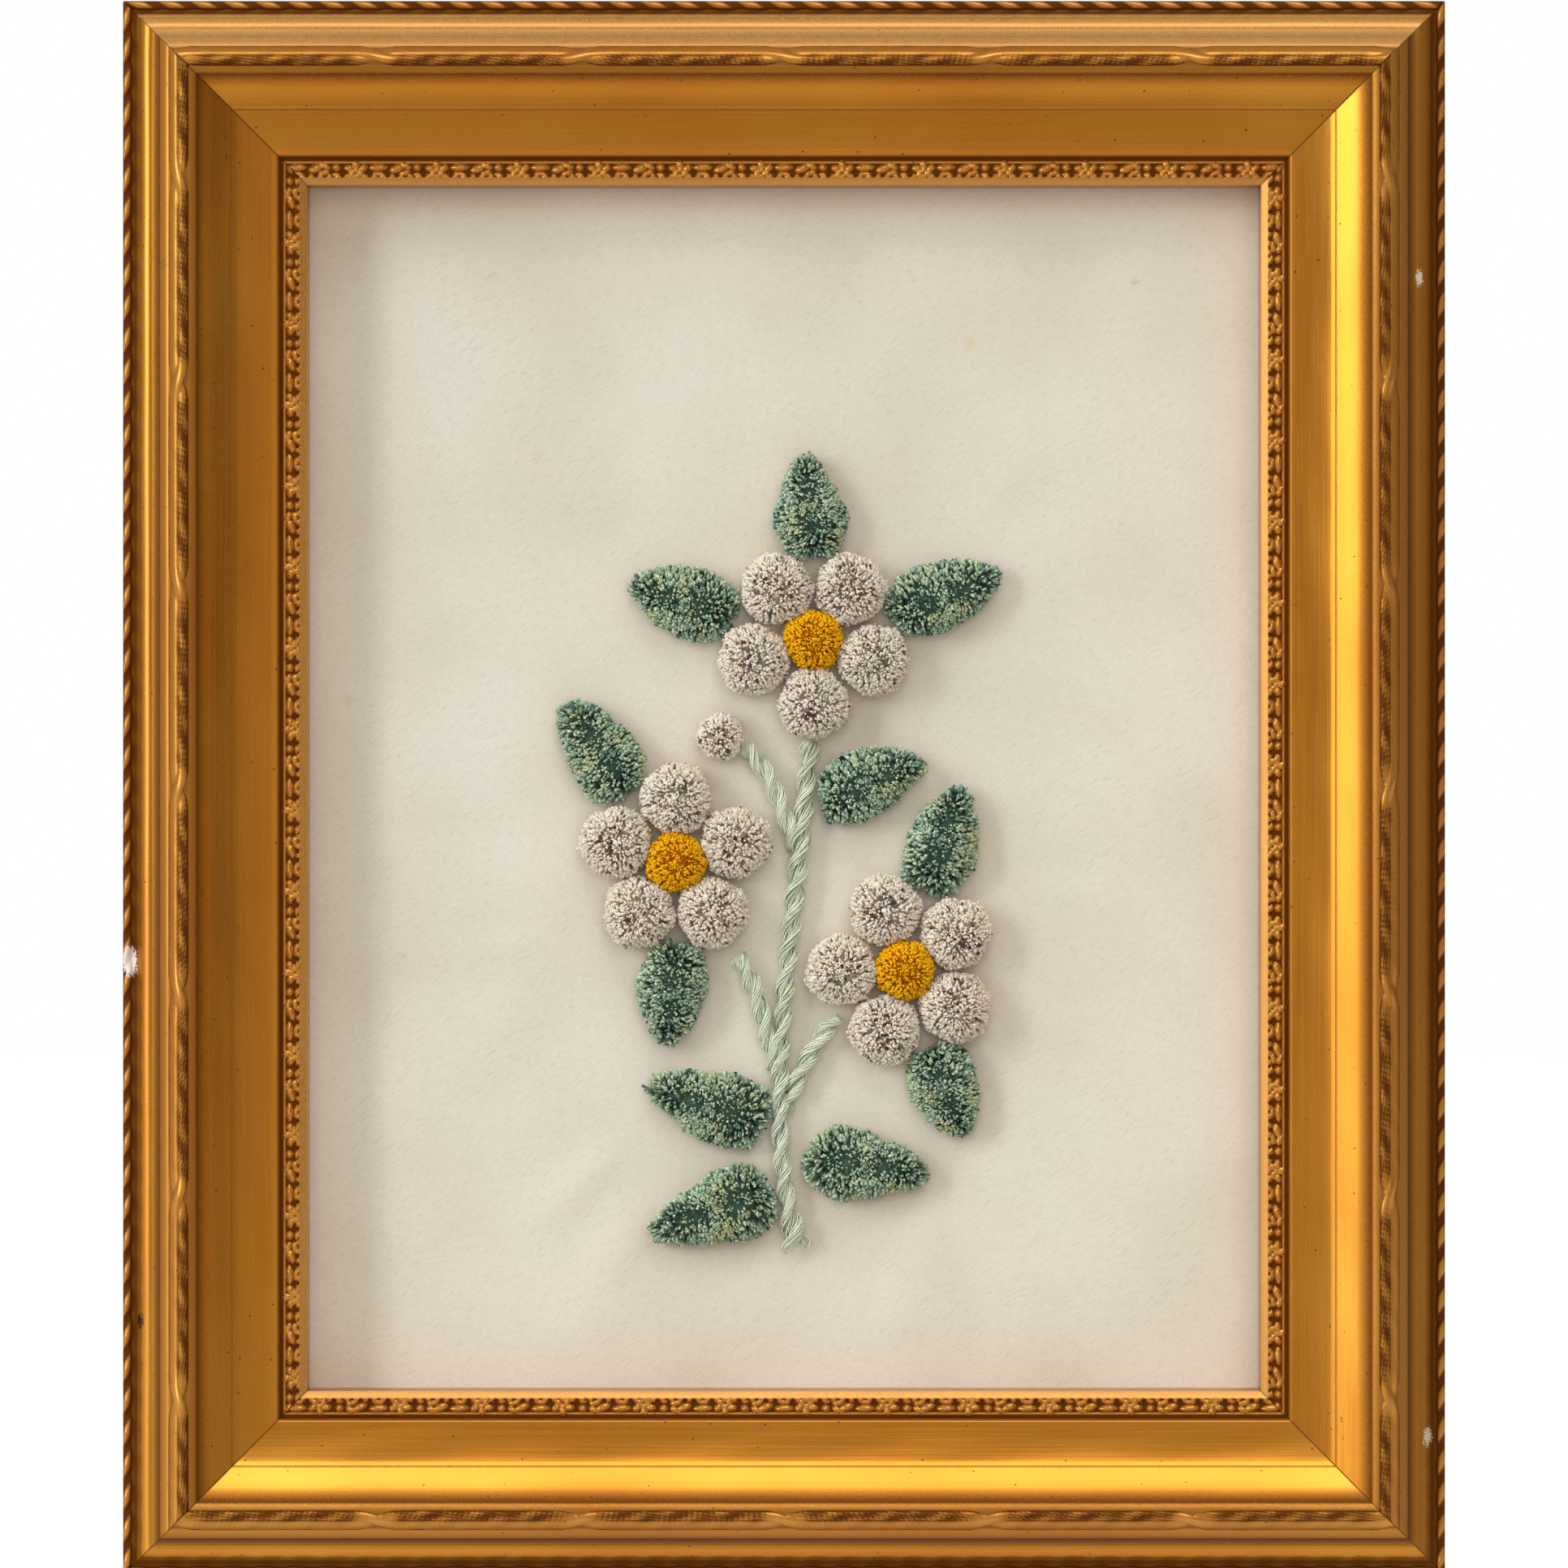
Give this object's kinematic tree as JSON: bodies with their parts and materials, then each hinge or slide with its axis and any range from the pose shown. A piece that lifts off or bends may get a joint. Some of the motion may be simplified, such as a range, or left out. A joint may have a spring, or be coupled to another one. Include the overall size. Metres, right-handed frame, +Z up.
{
  "type": "framed moose hair tufting and its gilt picture frame",
  "caption": "Floral spray of clipped hair tufts with twisted hair stems on a stretched cloth ground, in a mitred gilt moulding frame that hangs on a wall.",
  "frame": {"origin": "middle of the top rail's flat back face, where the picture is hung against a wall", "axes": "+Z up the picture, +X to the right seen from the front, +Y into the wall; the picture's face looks to -Y"},
  "size_m": [0.2674, 0.029, 0.3184],
  "materials": {
    "gilt_moulding": "burnished gilt over bole on wood, worn and toned",
    "napped_cloth": "matt, softly napped cream",
    "backing_board": "plain matt board",
    "grey_hair": "clipped hair, pinkish grey with dark ends",
    "orange_hair": "clipped hair, dyed orange",
    "green_hair": "clipped hair, dyed sage and teal",
    "pale_green_hair": "twisted hair, dyed pale green"
  },
  "bodies": {
    "root": {"backing_board": "backing_board", "bud_tuft": "grey_hair", "centre_left": "orange_hair", "centre_right": "orange_hair", "centre_top": "orange_hair", "ground_cloth": "napped_cloth", "leaf_left_lower": "green_hair", "leaf_left_upper": "green_hair", "leaf_right_lower": "green_hair", "leaf_right_upper": "green_hair", "leaf_stem_high": "green_hair", "leaf_stem_low": "green_hair", "leaf_stem_middle": "green_hair", "leaf_stem_side": "green_hair", "leaf_top_left": "green_hair", "leaf_top_middle": "green_hair", "leaf_top_right": "green_hair", "petal_left_1": "grey_hair", "petal_left_2": "grey_hair", "petal_left_3": "grey_hair", "petal_left_4": "grey_hair", "petal_left_5": "grey_hair", "petal_right_1": "grey_hair", "petal_right_2": "grey_hair", "petal_right_3": "grey_hair", "petal_right_4": "grey_hair", "petal_right_5": "grey_hair", "petal_top_1": "grey_hair", "petal_top_2": "grey_hair", "petal_top_3": "grey_hair", "petal_top_4": "grey_hair", "petal_top_5": "grey_hair", "rail_bottom": "gilt_moulding", "rail_left": "gilt_moulding", "rail_right": "gilt_moulding", "rail_top": "gilt_moulding", "stem_bud": "pale_green_hair", "stem_left": "pale_green_hair", "stem_main": "pale_green_hair", "stem_right": "pale_green_hair"}
  },
  "joints": []
}
